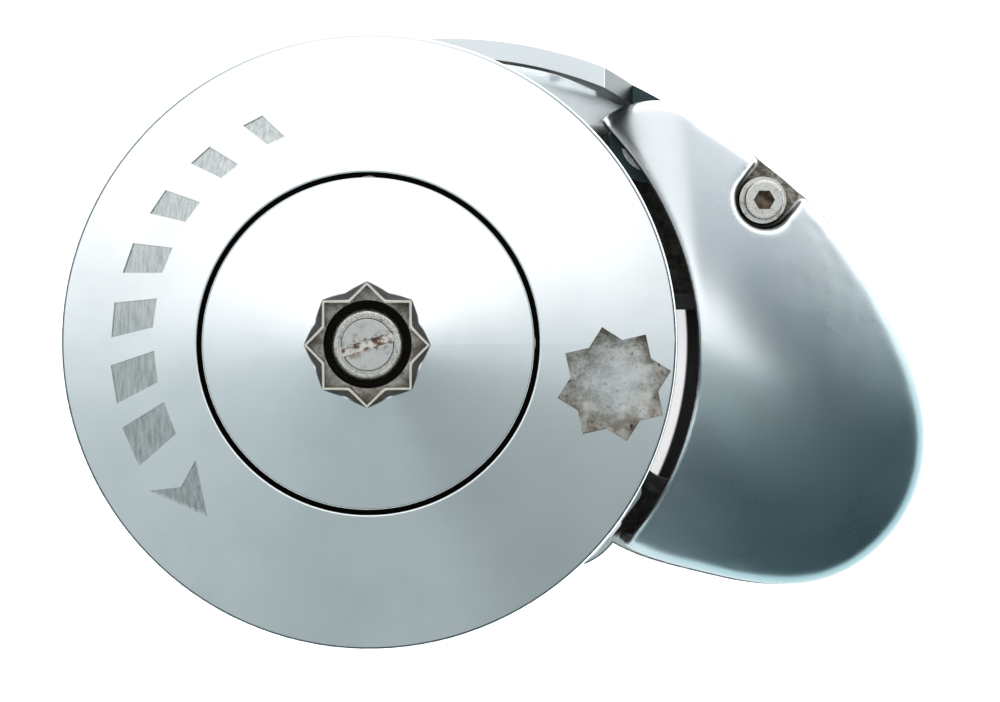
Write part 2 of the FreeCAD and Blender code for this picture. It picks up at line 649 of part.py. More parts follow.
def chain_stripper():
    """Foot, post and a tapered finger that lies in the wheel's centre slot."""
    foot_top = BASE_TOP + STRIPPER_FOOT_T
    finger_top = WHEEL_MID + STRIPPER_HALF
    foot = rounded_box((STRIPPER_R, 0.0), STRIPPER_FOOT_HALF, 3.0, BASE_TOP, foot_top)
    post = rounded_box((STRIPPER_R - 0.5, 0.0), STRIPPER_POST_HALF, 1.2, foot_top - SINK, finger_top)
    half_width = STRIPPER_POST_HALF[1]
    finger = prism([(33.5, -1.6), (61.0, -half_width), (66.0, -half_width), (66.0, half_width),
                    (61.0, half_width), (33.5, 0.4)], WHEEL_MID - STRIPPER_HALF, finger_top)
    stripper = about_z(foot.fuse(post).fuse(finger).removeSplitter(), STRIPPER_TURN)
    for point in stripper_screw_points():
        stripper = stripper.cut(cyl(M5_R, 0.0, foot_top + PAST, point))
    return stripper


def stripper_screws():
    seat = BASE_TOP + STRIPPER_FOOT_T
    radius, height = STRIPPER_HEAD
    top = seat + height
    edge_round = 1.0
    screws = []
    for point in stripper_screw_points():
        head = cyl(radius, seat, top, point)
        head = head.makeFillet(edge_round, edges_at(head, top))
        head = head.cut(hex_prism(SMALL_HEX, top - 0.5 * height, top + PAST, point))
        screws.append(head.fuse(cyl(M5_R, STRIPPER_SCREW_Z, seat, point)).removeSplitter())
    return Part.makeCompound(screws)


# --- pressure arm -----------------------------------------------------------------------------------
def arm_side_view():
    """Side view of the arm, extruded across it: high blade, crank, then the low part at the hub."""
    left, right, reach = -45.0, 80.0, 90.0
    side = [(left, ARM_BLADE_Z[1]), (ARM_CRANK_X[0], ARM_BLADE_Z[1]), (ARM_CRANK_X[1], ARM_LOW_TOP),
            (right, ARM_LOW_TOP), (right, ARM_HUB_Z[0]), (ARM_CRANK_FOOT_X[1], ARM_HUB_Z[0]),
            (ARM_CRANK_FOOT_X[0], ARM_BLADE_Z[0]), (left, ARM_BLADE_Z[0])]
    corners = [vec(x, 0.0, z) for x, z in side]
    return Part.Face(Part.makePolygon(corners + corners[:1])).extrude(vec(0, reach, 0))


def pressure_arm():
    """Curved blade outside the wheel, cranked down to its hub, with a finger in the groove."""
    cx, cy = ARM_ARC_CENTRE
    z0, z1 = ARM_HUB_Z[0], ARM_BLADE_Z[1]
    start = math.degrees(math.atan2(ARM_PIVOT[1] - cy, ARM_PIVOT[0] - cx))
    blade = Part.makeCylinder(ARM_OUTER_R, z1 - z0, vec(cx, cy, z0), vec(0, 0, 1), ARM_END_ANGLE - start)
    blade.rotate(vec(cx, cy), vec(0, 0, 1), start)
    blade = blade.cut(cyl(ARM_OUTER_R - ARM_T, z0 - PAST, z1 + PAST, ARM_ARC_CENTRE))
    blade = blade.common(arm_side_view())
    hub = cyl(ARM_HUB_R, *ARM_HUB_Z, ARM_PIVOT)
    arm = blade.fuse(hub).fuse(prism(ARM_FINGER, *ARM_FINGER_Z)).removeSplitter()
    clip_well_r = ARM_CLIP_R[1] + 0.8
    return arm.cut(cyl(ARM_BUSH_R, 0.0, z1, ARM_PIVOT)).cut(cyl(clip_well_r, ARM_HUB_Z[1], z1 + PAST, ARM_PIVOT))


def arm_bush():
    return ring(ARM_BUSH_R, ARM_PIN_R + FIT, *ARM_HUB_Z, ARM_PIVOT)


def arm_clip_z():
    foot = ARM_HUB_Z[1] + 0.4
    return foot, foot + ARM_CLIP_T


def arm_pivot_pin():
    groove = arm_clip_z()
    pin = cyl(ARM_PIN_R, PIN_FOOT_Z, groove[1] + 1.0, ARM_PIVOT)
    return pin.cut(ring(ARM_CLIP_R[1], ARM_CLIP_R[0], *groove, ARM_PIVOT))


def arm_circlip():
    return circlip(ARM_CLIP_R, *arm_clip_z(), ARM_PIVOT)


def arm_spring():
    return coil(6.3, 0.9, BASE_TOP + SURFACE_GAP, 2.4, 2.0, ARM_PIVOT)


# --- ratchet pawl -----------------------------------------------------------------------------------
def ratchet_pawl():
    """Pawl on an upright pin; its nose swings into a notch of the lower flange."""
    z0, z1 = PAWL_Z
    pivot = (PAWL_PIVOT_R, 0.0)
    pawl = cyl(PAWL_HUB_R, z0, z1, pivot).fuse(prism(PAWL_ARM, z0, z1)).fuse(prism(PAWL_TAB, z0, z1))
    pawl = pawl.removeSplitter().cut(cyl(PAWL_PIN_R + FIT, z0 - PAST, z1 + PAST, pivot))
    return about_z(pawl, PAWL_TURN)


def pawl_clip_z():
    foot = PAWL_Z[1] + PAWL_LIFT
    return foot, foot + PAWL_CLIP_T


def pawl_pin():
    at = polar(PAWL_PIVOT_R, PAWL_TURN)
    groove = pawl_clip_z()
    return cyl(PAWL_PIN_R, PIN_FOOT_Z, groove[1] + 1.0, at).cut(ring(PAWL_CLIP_R[1], PAWL_CLIP_R[0], *groove, at))


def pawl_circlip():
    return circlip(PAWL_CLIP_R, *pawl_clip_z(), polar(PAWL_PIVOT_R, PAWL_TURN), PAWL_TURN)


# --- hood --------------------------------------------------------------------------------------------
def pocket_block(radius, z0, z1):
    """U-shaped block round the hood screw, open towards the hood's edge."""
    block = cyl(radius, z0, z1, HOOD_SCREW)
    run = box(0.0, POCKET_RUN, -radius, radius, z0, z1)
    run = about_z(run, POCKET_TURN)
    run.translate(vec(HOOD_SCREW[0], HOOD_SCREW[1]))
    return block.fuse(run)


def front_edges(hood):
    """Edges along which the front cut meets the polished top."""
    cx, cy = HOOD_FRONT_CENTRE
    near = 1e-3
    found = []
    for e in hood.Edges:
        span = e.LastParameter - e.FirstParameter
        points = [e.valueAt(e.FirstParameter + share * span) for share in (0.1, 0.5, 0.9)]
        on_cut = all(abs(math.hypot(p.x - cx, p.y - cy) - HOOD_FRONT_R) < near for p in points)
        if on_cut and e.BoundBox.ZMax > HOOD_TOP - 0.5:
            found.append(e)
    return found


def chainpipe_hood():
    """Polished cover over the chain pipe, open towards the wheel and underneath."""
    over = HOOD_TOP + PAST
    outer = dome(1.0, BASE_TOP, 0.0)
    shell = outer.cut(dome(1.0 - HOOD_WALL / HOOD_MEAN_R, BASE_TOP - PAST, HOOD_WALL))
    bosses = pocket_block(POCKET_R + BOSS_WALL, POST_TOP, over)
    for point in DOWELS:
        bosses = bosses.fuse(cyl(DOWEL_BOSS[0], BASE_TOP, DOWEL_BOSS[1], point))
    hood = shell.fuse(bosses.common(outer))
    hood = hood.cut(cyl(HOOD_FRONT_R, 0.0, over, HOOD_FRONT_CENTRE))
    hood = hood.makeFillet(HOOD_LIP_R, front_edges(hood))
    hood = hood.cut(pocket_block(POCKET_R, HOOD_SCREW_FLOOR, over))
    hood = hood.cut(cyl(M5_R + 0.25, M5_SCREW_Z, over, HOOD_SCREW))
    hood = hood.cut(cyl(POST_R + 0.2, 0.0, POST_TOP, HOOD_SCREW))
    hood = hood.cut(box(*ARM_WINDOW, 0.0, ARM_WINDOW_TOP))
    for point in DOWELS:
        hood = hood.cut(cyl(M5_R, 0.0, DOWEL_TOP + 0.5, point))
    return hood


def hood_washer():
    outer, hole, thickness = HOOD_WASHER
    return ring(outer, hole, HOOD_SCREW_FLOOR, HOOD_SCREW_FLOOR + thickness, HOOD_SCREW)


def hood_screw():
    radius, height = HOOD_HEAD
    seat = HOOD_SCREW_FLOOR + HOOD_WASHER[2]
    top = seat + height
    edge_round = 0.5
    head = cyl(radius, seat, top, HOOD_SCREW)
    head = head.makeFillet(edge_round, edges_at(head, top))
    head = head.cut(hex_prism(HOOD_HEX, top - HOOD_HEX_DEPTH, top + PAST, HOOD_SCREW))
    return head.fuse(cyl(M5_R, M5_SCREW_Z, seat, HOOD_SCREW)).removeSplitter()


def hood_dowels():
    return Part.makeCompound([cyl(M5_R, LOW_HOLE_Z, DOWEL_TOP, point) for point in DOWELS])


PIECES = [
    base_gasket, base_plate, chainpipe_liner, lower_shaft_bush, upper_shaft_bush, shaft_seal,
    lower_thrust_washer, main_shaft, shaft_circlip, lower_clutch_cone, lower_cone_key, clutch_spring,
    upper_clutch_cone, upper_cone_key, clutch_thrust_washer, clutch_nut, retaining_collar,
    shaft_end_screw, chainwheel, drum_cap, cap_screws, cap_dowels, chain_stripper, stripper_screws,
    pressure_arm, arm_bush, arm_pivot_pin, arm_circlip, arm_spring, ratchet_pawl, pawl_pin,
    pawl_circlip, chainpipe_hood, hood_washer, hood_screw, hood_dowels,
]

os.makedirs("parts", exist_ok=True)
for piece in PIECES:
    save(piece.__name__, piece())
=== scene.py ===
import math

import bpy
from mathutils import Matrix, Vector

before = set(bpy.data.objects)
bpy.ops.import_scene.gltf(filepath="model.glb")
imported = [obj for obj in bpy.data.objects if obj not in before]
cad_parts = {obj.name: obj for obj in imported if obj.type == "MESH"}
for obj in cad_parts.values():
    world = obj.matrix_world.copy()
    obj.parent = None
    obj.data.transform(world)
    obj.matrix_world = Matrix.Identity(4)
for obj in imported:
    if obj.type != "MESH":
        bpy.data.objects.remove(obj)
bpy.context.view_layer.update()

# Vertical anchor windlass, deck unit. Metres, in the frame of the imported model.

MM = 0.001

# --- dimensions that tell one surface of a piece from another ---------------------
CAP_R = 65.0 * MM
RIM_Z = 80.0 * MM
RING_R = 35.6 * MM
CAP_SLOPE = 12.0 / 29.4
ENGRAVED_R = (39.5 * MM, 58.5 * MM)
ENGRAVED_DEPTH = (0.2 * MM, 0.3 * MM)
RECESS_DEPTH = (0.6 * MM, 1.2 * MM)
OUTER_SOCKET = (51.5 * MM, -8.7 * MM)
OUTER_SOCKET_R = 12.6 * MM
OUTER_SOCKET_DEPTH = (0.6 * MM, 1.6 * MM)
RUBBED_MIDDLE = (2.0 * MM, 10.5 * MM)
STAR_R = 13.4 * MM
STAR_RIM_Z = (104.7 * MM, 104.9 * MM)
STAR_BORE_Z = (96.8 * MM, 97.6 * MM)
NUT_EDGE_R = (34.2 * MM, 34.5 * MM)
SLOT_TURN = math.radians(17.0)
SLOT_FLOOR_Z = 99.5 * MM
BASE_R = 64.0 * MM
BASE_TOP_Z = (10.0 * MM, 10.8 * MM)
COVERED_Y = (-46.0 * MM, -44.0 * MM, 45.0 * MM, 48.0 * MM)
HOOD_FRONT_CENTRE = (-1.5 * MM, -2.0 * MM)
HOOD_INSIDE_R = 71.6 * MM
HOOD_SCREW = (85.1 * MM, 30.2 * MM)
HEXAGON_R = (2.35 * MM, 2.5 * MM)
HEXAGON_Z = (49.5 * MM, 49.8 * MM)
POCKET_REACH = 16.0 * MM
POCKET_FLOOR = 44.0 * MM
ARM_ARC_CENTRE = (16.7 * MM, -28.3 * MM)
ARM_CRANK_X = (49.8 * MM, 50.2 * MM)
ARM_TOP_Z = (62.6 * MM, 62.9 * MM)
WORN_GROOVE_R = (44.0 * MM, 56.0 * MM)
PIPE_CENTRE = (72.0 * MM, -13.4 * MM)
PIPE_SHADE_R = (25.0 * MM, 27.0 * MM)
HOOD_SHADE_R = (71.9 * MM, 72.6 * MM)

# --- looks ----------------------------------------------------------------------
CAP_SATIN = 0.07        # how much rougher than a mirror the cap and nut are
HOOD_SATIN = 0.2
HOOD_PAINTED_SHADE_SPAN = (8.0 * MM, 98.0 * MM)   # the hood's colour is painted darker, as painted shade, between these distances along it
SKIN_BUMP = 0.006 * MM
GROOVE_BUMP = 0.008 * MM
TOOL_BUMP = 0.01 * MM
SLOT_BUMP = 0.012 * MM
MOULD_BUMP = 0.02 * MM
RUBBER_BUMP = 0.03 * MM
DIRTY = 0.6             # roughness of dirt and rust, also given to the painted-shade areas
FLOOR_GLOW = 0.75

STEEL = (0.80, 0.83, 0.845, 1.0)
STEEL_DULL = (0.62, 0.66, 0.675, 1.0)
# painted shade along the hood
STEEL_PAINTED_SHADE = (0.21, 0.33, 0.36, 1.0)
STEEL_SHADE = (0.04, 0.06, 0.065, 1.0)
STEEL_TURNED = (0.74, 0.73, 0.70, 1.0)
BRUSHED = (0.36, 0.39, 0.39, 1.0)
BRUSHED_LIGHT = (0.66, 0.69, 0.69, 1.0)
RUBBED_BLUE = (0.60, 0.66, 0.69, 1.0)
# painted highlight on the star's rim
RIM_PAINTED_HIGHLIGHT = (0.66, 0.62, 0.54, 1.0)
PATINA = (0.23, 0.205, 0.165, 1.0)
PATINA_LIGHT = (0.60, 0.59, 0.56, 1.0)
CAST = (0.10, 0.085, 0.065, 1.0)
CAST_LIGHT = (0.40, 0.38, 0.34, 1.0)
# painted shade on the covered casting
CAST_PAINTED_SHADE = (0.045, 0.043, 0.037, 1.0)
CAST_PAINTED_SHADE_LIGHT = (0.12, 0.115, 0.10, 1.0)
WORN = (0.20, 0.185, 0.16, 1.0)
WORN_LIGHT = (0.42, 0.42, 0.40, 1.0)
# grime, also used as painted shade in grooves, bores and crevices
GRIME_AND_PAINTED_SHADE = (0.035, 0.03, 0.024, 1.0)
BROWN_STAIN = (0.24, 0.17, 0.10, 1.0)
RUST = (0.22, 0.065, 0.025, 1.0)
OUTER_WALL = (0.06, 0.055, 0.05, 1.0)
FLOOR_SHADE = (0.06, 0.06, 0.06, 1.0)


# --- node helpers -----------------------------------------------------------------
class Graph:
    """Short calls for building a node tree."""

    def __init__(self, tree, coordinate):
        self.nodes = tree.nodes
        self.links = tree.links
        self.point = self.nodes.new("ShaderNodeTexCoord").outputs[coordinate]

    def plug(self, value, socket):
        if isinstance(value, bpy.types.NodeSocket):
            self.links.new(value, socket)
        else:
            socket.default_value = value

    def math(self, operation, a, b=0.0):
        node = self.nodes.new("ShaderNodeMath")
        node.operation = operation
        self.plug(a, node.inputs[0])
        self.plug(b, node.inputs[1])
        return node.outputs[0]

    def step(self, value, low, high, to_low=0.0, to_high=1.0):
        """Smooth step of a value from low to high."""
        node = self.nodes.new("ShaderNodeMapRange")
        node.interpolation_type = "SMOOTHSTEP"
        self.plug(value, node.inputs["Value"])
        for name, number in (("From Min", low), ("From Max", high), ("To Min", to_low), ("To Max", to_high)):
            node.inputs[name].default_value = number
        return node.outputs["Result"]

    def fall(self, value, low, high):
        """Smooth step down from 1 to 0."""
        return self.step(value, low, high, 1.0, 0.0)

    def xyz(self, vector=None):
        node = self.nodes.new("ShaderNodeSeparateXYZ")
        self.links.new(vector or self.point, node.inputs[0])
        return node.outputs

    def mix(self, factor, a, b, kind="MIX"):
        """Colour mix."""
        node = self.nodes.new("ShaderNodeMix")
        node.data_type = "RGBA"
        node.blend_type = kind
        self.plug(factor, node.inputs["Factor"])
        self.plug(a, node.inputs["A"])
        self.plug(b, node.inputs["B"])
        return node.outputs["Result"]


class MaterialGraph(Graph):
    """A material's nodes, in the object's own coordinates."""

    def __init__(self, name):
        self.material = bpy.data.materials.new(name)
        self.material.use_nodes = True
        super().__init__(self.material.node_tree, "Object")
        self.shader = self.nodes["Principled BSDF"]

    def noise(self, scale, detail=4.0, rough=0.55, vector=None):
        node = self.nodes.new("ShaderNodeTexNoise")
        node.inputs["Scale"].default_value = scale
        node.inputs["Detail"].default_value = detail
        node.inputs["Roughness"].default_value = rough
        self.links.new(vector or self.point, node.inputs["Vector"])
        return node.outputs["Fac"]

    def stretched(self, scale):
        """Object coordinates scaled unevenly, for grain that runs one way."""
        node = self.nodes.new("ShaderNodeMapping")
        node.inputs["Scale"].default_value = scale
        self.links.new(self.point, node.inputs["Vector"])
        return node.outputs["Vector"]

    def from_axis(self, centre):
        """Distances in x and y from an upright axis."""
        x, y, _ = self.xyz()
        return self.math("SUBTRACT", x, centre[0]), self.math("SUBTRACT", y, centre[1])

    def radius(self, centre=(0.0, 0.0)):
        """Distance from an upright axis."""
        dx, dy = self.from_axis(centre)
        squares = self.math("ADD", self.math("MULTIPLY", dx, dx), self.math("MULTIPLY", dy, dy))
        return self.math("SQRT", squares)

    def outward(self, centre=(0.0, 0.0)):
        """How squarely a face looks away from an upright axis, from -1 to 1."""
        shortest = 0.1 * MM
        normal_x, normal_y, _ = self.xyz(self.nodes.new("ShaderNodeNewGeometry").outputs["True Normal"])
        dx, dy = self.from_axis(centre)
        along = self.math("ADD", self.math("MULTIPLY", normal_x, dx), self.math("MULTIPLY", normal_y, dy))
        return self.math("DIVIDE", along, self.math("MAXIMUM", self.radius(centre), shortest))

    def blend(self, factor, a, b):
        """Number mix."""
        node = self.nodes.new("ShaderNodeMix")
        node.data_type = "FLOAT"
        self.plug(factor, node.inputs["Factor"])
        self.plug(a, node.inputs["A"])
        self.plug(b, node.inputs["B"])
        return node.outputs["Result"]

    def crevice_shade_mask(self, reach, low, high):
        """1 deep in a recess, 0 on open faces; a mask for painted shade."""
        node = self.nodes.new("ShaderNodeAmbientOcclusion")
        node.samples = 6
        node.inputs["Distance"].default_value = reach
        return self.fall(node.outputs["AO"], low, high)

    def bump(self, height, distance):
        node = self.nodes.new("ShaderNodeBump")
        node.inputs["Distance"].default_value = distance
        self.links.new(height, node.inputs["Height"])
        self.links.new(node.outputs["Normal"], self.shader.inputs["Normal"])

    def finish(self, colour, roughness, metallic=1.0):
        self.plug(colour, self.shader.inputs["Base Color"])
        self.plug(roughness, self.shader.inputs["Roughness"])
        self.plug(metallic, self.shader.inputs["Metallic"])
        return self.material


def polished_base(g, satin=0.0):
    """Polish with faint swirls and haze, duller as satin rises; gives colour, roughness and a height."""
    haze = g.noise(55.0, 5.0)
    fine = g.noise(2600.0, 3.0)
    swirl = g.noise(420.0, 6.0, 0.7, g.stretched((1.0, 3.0, 1.0)))
    colour = g.mix(g.step(haze, 0.35, 0.7), STEEL, STEEL_DULL)
    colour = g.mix(0.75, colour, STEEL)
    polish = g.step(haze, 0.3, 0.75, 0.05 + satin, 0.1 + satin)
    roughness = g.math("ADD", polish, g.math("MULTIPLY", swirl, 0.04))
    height = g.math("ADD", g.math("MULTIPLY", fine, 0.4), swirl)
    return colour, roughness, height


def patina_base(g, scale=1.0):
    """Stained, dull metal at the bottom of a recess."""
    cloud = g.noise(260.0 * scale, 6.0, 0.65)
    grain = g.noise(2400.0 * scale, 4.0)
    colour = g.mix(g.step(cloud, 0.36, 0.66), PATINA, PATINA_LIGHT)
    colour = g.mix(g.step(g.noise(700.0 * scale, 5.0), 0.58, 0.75), colour, GRIME_AND_PAINTED_SHADE)
    roughness = g.step(grain, 0.3, 0.7, 0.34, 0.6)
    return colour, roughness, g.math("ADD", grain, cloud)


def cone_depth(g):
    """How far a point lies under the cap's and nut's common cone."""
    z = g.xyz()[2]
    inward = g.math("SUBTRACT", CAP_R, g.radius())
    cone_z = g.math("ADD", RIM_Z, g.math("MULTIPLY", inward, CAP_SLOPE))
    return g.math("SUBTRACT", cone_z, z)


# --- materials -----------------------------------------------------------------------
def cap_material():
    """Polished cone, matte engraving, stained handle recess, and painted shade in the ring seat round the
    nut.
    """
    g = MaterialGraph("cap_polish")
    colour, roughness, height = polished_base(g, CAP_SATIN)
    depth = cone_depth(g)
    r = g.radius()
    inner, outer = ENGRAVED_R
    band = g.math("MULTIPLY", g.step(r, inner, inner + MM), g.fall(r, outer - MM, outer))
    engraved = g.math("MULTIPLY", g.step(depth, *ENGRAVED_DEPTH), band)
    grain = g.noise(1500.0, 5.0, 0.7, g.stretched((1.0, 0.12, 1.0)))
    brushed = g.mix(g.step(grain, 0.3, 0.7), BRUSHED, BRUSHED_LIGHT)
    colour = g.mix(engraved, colour, brushed)
    roughness = g.blend(engraved, roughness, g.step(grain, 0.3, 0.7, 0.26, 0.42))

    # painted shade: the ring seat round the nut is painted near black
    seat = g.math("MULTIPLY", g.math("LESS_THAN", r, RING_R + 0.3 * MM), g.step(depth, *RECESS_DEPTH))
    colour = g.mix(seat, colour, GRIME_AND_PAINTED_SHADE)
    roughness = g.blend(seat, roughness, DIRTY)

    socket = g.math("LESS_THAN", g.radius(OUTER_SOCKET), OUTER_SOCKET_R)
    recess = g.math("MULTIPLY", socket, g.step(depth, *OUTER_SOCKET_DEPTH))
    stain, stain_rough, stain_height = patina_base(g)
    middle = g.step(g.radius(OUTER_SOCKET), *RUBBED_MIDDLE, 0.55, 0.0)
    stain = g.mix(middle, stain, RUBBED_BLUE)
    colour = g.mix(recess, colour, stain)
    roughness = g.blend(recess, roughness, stain_rough)
    height = g.blend(g.math("MAXIMUM", recess, engraved), height, g.math("MULTIPLY", stain_height, 6.0))
    g.bump(height, SKIN_BUMP)
    return g.finish(colour, roughness)


def nut_material():
    """Polished cone; the star's walls and socket are stained, its outward walls are painted near black and
    its top rim is painted lighter as a painted highlight; its bore, edge gap and crevices are painted dark
    as painted shade.
    """
    g = MaterialGraph("nut_polish")
    colour, roughness, height = polished_base(g, CAP_SATIN)
    z = g.xyz()[2]
    r = g.radius()
    depth = cone_depth(g)
    above_cone = g.fall(depth, -0.6 * MM, -0.2 * MM)
    below_cone = g.step(depth, 0.2 * MM, 0.6 * MM)
    inside = g.math("LESS_THAN", r, STAR_R)
    boss = g.math("MULTIPLY", inside, g.math("MAXIMUM", above_cone, below_cone))
    stain, stain_rough, stain_height = patina_base(g, 1.3)
    colour = g.mix(boss, colour, stain)
    roughness = g.blend(boss, roughness, stain_rough)
    # the star's outward-facing walls are painted near black
    outside = g.math("MULTIPLY", g.step(g.outward(), 0.2, 0.4), boss)
    colour = g.mix(outside, colour, OUTER_WALL)
    roughness = g.blend(outside, roughness, 0.5)
    # painted highlight: the star's top rim is painted lighter
    rim = g.math("MULTIPLY", inside, g.step(z, *STAR_RIM_Z))
    colour = g.mix(rim, colour, RIM_PAINTED_HIGHLIGHT)
    roughness = g.blend(rim, roughness, 0.22)

    # painted shade: the bore, the gap at the nut's edge and crevices are painted near black
    bore = g.math("MULTIPLY", inside, g.fall(z, *STAR_BORE_Z))
    edge_gap = g.math("MULTIPLY", g.step(r, *NUT_EDGE_R), g.step(depth, *RECESS_DEPTH))
    dirt_and_painted_shade = g.math("MAXIMUM", bore, g.crevice_shade_mask(4.0 * MM, 0.15, 0.5))
    dirt_and_painted_shade = g.math("MAXIMUM", dirt_and_painted_shade, edge_gap)
    colour = g.mix(dirt_and_painted_shade, colour, GRIME_AND_PAINTED_SHADE)
    roughness = g.blend(dirt_and_painted_shade, roughness, DIRTY)
    height = g.blend(boss, height, g.math("MULTIPLY", stain_height, 6.0))
    g.bump(height, SKIN_BUMP)
    return g.finish(colour, roughness)


def hood_material():
    """Satin skin painted darker along the hood as painted shade, with a cast screw pocket; its inside and
    its crevices are painted dark as painted shade.
    """
    g = MaterialGraph("hood_polish")
    colour, roughness, height = polished_base(g, HOOD_SATIN)
    x, y, z = g.xyz()
    along = g.math("SUBTRACT", g.math("MULTIPLY", x, 0.55), g.math("MULTIPLY", y, 0.83))
    # painted shade: the colour darkens towards the hood's far end
    colour = g.mix(g.step(along, *HOOD_PAINTED_SHADE_SPAN), colour, STEEL_PAINTED_SHADE)

    near = g.math("LESS_THAN", g.radius(HOOD_SCREW), POCKET_REACH)
    level = g.math("ABSOLUTE", g.math("SUBTRACT", z, POCKET_FLOOR))
    pocket = g.math("MULTIPLY", near, g.fall(level, 0.3 * MM, 0.5 * MM))
    cast = g.noise(900.0, 6.0, 0.7)
    colour = g.mix(pocket, colour, g.mix(g.step(cast, 0.35, 0.65), CAST, CAST_LIGHT))
    roughness = g.blend(pocket, roughness, 0.5)

    # painted shade: faces turned towards the wheel, and crevices, are painted near black
    front = g.math("LESS_THAN", g.radius(HOOD_FRONT_CENTRE), HOOD_INSIDE_R)
    inside = g.math("MULTIPLY", front, g.fall(g.outward(HOOD_FRONT_CENTRE), -0.9, -0.7))
    dirt_and_painted_shade = g.math("MAXIMUM", inside, g.crevice_shade_mask(30.0 * MM, 0.2, 0.45))
    colour = g.mix(dirt_and_painted_shade, colour, GRIME_AND_PAINTED_SHADE)
    roughness = g.blend(dirt_and_painted_shade, roughness, DIRTY)
    height = g.blend(pocket, height, g.math("MULTIPLY", cast, 40.0))
    g.bump(height, SKIN_BUMP)
    return g.finish(colour, roughness)


def base_material():
    """Polished rim; the covered casting under the wheel and hood, and its crevices, are dull and painted
    dark as painted shade.
    """
    g = MaterialGraph("base_polish")
    colour, roughness, height = polished_base(g)
    cast = g.noise(500.0, 6.0, 0.7)
    _, y, z = g.xyz()
    # painted shade: the covered top under the wheel and hood, and crevices, are painted dark
    in_drum = g.fall(g.radius(), BASE_R - 4.0 * MM, BASE_R - 1.5 * MM)
    in_hood = g.math("MULTIPLY", g.step(y, *COVERED_Y[:2]), g.fall(y, *COVERED_Y[2:]))
    covered = g.math("MULTIPLY", g.math("MAXIMUM", in_drum, in_hood), g.step(z, *BASE_TOP_Z))
    dull_and_painted_shade = g.math("MAXIMUM", covered, g.crevice_shade_mask(35.0 * MM, 0.30, 0.55))
    colour = g.mix(dull_and_painted_shade, colour, g.mix(g.step(cast, 0.35, 0.7), CAST_PAINTED_SHADE, CAST_PAINTED_SHADE_LIGHT))
    roughness = g.blend(dull_and_painted_shade, roughness, 0.55)
    height = g.blend(dull_and_painted_shade, height, g.math("MULTIPLY", cast, 30.0))
    g.bump(height, SKIN_BUMP)
    return g.finish(colour, roughness)


def arm_material():
    """Polished blade; the side towards the wheel and the cranked end lie in its own shade."""
    g = MaterialGraph("arm_polish")
    colour, roughness, height = polished_base(g)
    x, _, z = g.xyz()
    inner = g.fall(g.outward(ARM_ARC_CENTRE), -0.8, -0.5)
    crank = g.math("MULTIPLY", g.step(x, *ARM_CRANK_X), g.fall(z, *ARM_TOP_Z))
    shade = g.math("MAXIMUM", inner, crank)
    colour = g.mix(shade, colour, STEEL_SHADE)
    roughness = g.blend(shade, roughness, 0.3)
    g.bump(height, SKIN_BUMP)
    return g.finish(colour, roughness)


def polished_material():
    g = MaterialGraph("polished_steel")
    colour, roughness, height = polished_base(g)
    g.bump(height, SKIN_BUMP)
    return g.finish(colour, roughness)


def wheel_material():
    """Chromed casting, dull and scuffed down in the groove."""
    g = MaterialGraph("chainwheel_chrome")
    colour, roughness, height = polished_base(g)
    scuff = g.noise(380.0, 6.0, 0.7)
    worn = g.math("MULTIPLY", g.fall(g.radius(), *WORN_GROOVE_R), g.step(scuff, 0.35, 0.6, 0.45, 1.0))
    colour = g.mix(worn, colour, g.mix(g.step(scuff, 0.4, 0.65), WORN_LIGHT, WORN))
    roughness = g.blend(worn, roughness, g.step(scuff, 0.35, 0.7, 0.28, 0.5))
    height = g.math("ADD", height, g.math("MULTIPLY", scuff, 8.0))
    g.bump(height, GROOVE_BUMP)
    return g.finish(colour, roughness)


def tool_marks(g):
    """Fine marks, stain clouds and the height they make together."""
    marks = g.noise(3200.0, 3.0, 0.6)
    cloud = g.noise(520.0, 5.0, 0.65)
    return marks, cloud, g.math("ADD", marks, g.math("MULTIPLY", cloud, 3.0))


def stained_steel(name, stain_amount=0.5, tint=(0.56, 0.55, 0.52, 1.0)):
    """Machined steel with tool marks and brown stains, for screws, pins and clips."""
    g = MaterialGraph(name)
    marks, cloud, height = tool_marks(g)
    colour = g.mix(g.step(marks, 0.3, 0.7), tint, STEEL_TURNED)
    stain = g.step(cloud, 0.62 - 0.2 * stain_amount, 0.78, 0.0, 0.85)
    colour = g.mix(stain, colour, BROWN_STAIN)
    roughness = g.blend(stain, g.step(marks, 0.3, 0.7, 0.16, 0.3), DIRTY)
    g.bump(height, TOOL_BUMP)
    return g.finish(colour, roughness)


def hood_screw_material():
    """Socket-head screw with dirt and rust down in its hexagon."""
    g = MaterialGraph("hood_screw_steel")
    marks, cloud, height = tool_marks(g)
    colour = g.mix(g.step(marks, 0.3, 0.7), (0.50, 0.49, 0.46, 1.0), STEEL_TURNED)
    colour = g.mix(g.step(cloud, 0.5, 0.75, 0.0, 0.7), colour, BROWN_STAIN)
    well = g.math("MULTIPLY", g.fall(g.radius(HOOD_SCREW), *HEXAGON_R), g.fall(g.xyz()[2], *HEXAGON_Z))
    dirt_and_painted_shade = g.mix(g.step(cloud, 0.4, 0.65), (0.10, 0.07, 0.045, 1.0), (0.30, 0.24, 0.18, 1.0))
    colour = g.mix(well, colour, dirt_and_painted_shade)
    roughness = g.blend(well, g.step(marks, 0.3, 0.7, 0.16, 0.3), DIRTY)
    g.bump(height, TOOL_BUMP)
    return g.finish(colour, roughness)


